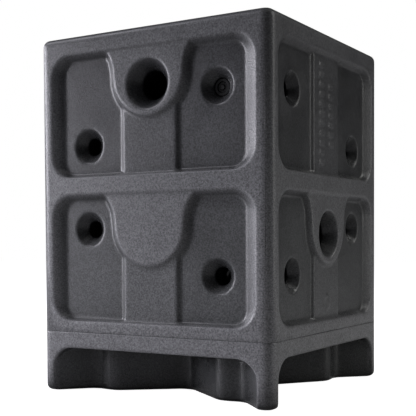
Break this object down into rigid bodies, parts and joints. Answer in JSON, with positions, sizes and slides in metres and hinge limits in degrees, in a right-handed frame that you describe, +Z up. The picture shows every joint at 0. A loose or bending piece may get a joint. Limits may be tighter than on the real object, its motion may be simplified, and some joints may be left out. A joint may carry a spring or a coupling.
{
  "type": "mounting block",
  "caption": "Hollow square plastic mounting block with recessed side panels, tapered peg sockets, crossing through holes and a coved base.",
  "frame": {"origin": "on the ground, at the middle of the block's square plan", "axes": "+Z up; -Y is the front, whose upper boss has the through hole; +X is the side whose lower boss has one"},
  "size_m": [0.332, 0.332, 0.45],
  "materials": {
    "body_plastic": "charcoal polyethylene with a fine orange-peel grain",
    "base_plastic": "charcoal polyethylene with a fine orange-peel grain",
    "tube_plastic": "smooth black extruded polyethylene",
    "plug_plastic": "smooth dark grey plastic",
    "seal_rubber": "black rubber"
  },
  "bodies": {
    "block": {"upper_shell": "body_plastic", "base_moulding": "base_plastic", "upper_through_tube": "tube_plastic", "lower_through_tube": "tube_plastic"},
    "plug": {"vent_plug": "plug_plastic", "plug_seal": "seal_rubber"}
  },
  "joints": [
    {"name": "vent_plug_pull", "type": "slide", "parent": "block", "child": "plug", "axis": [0, -1, 0], "range_m": [0, 0.03]}
  ]
}
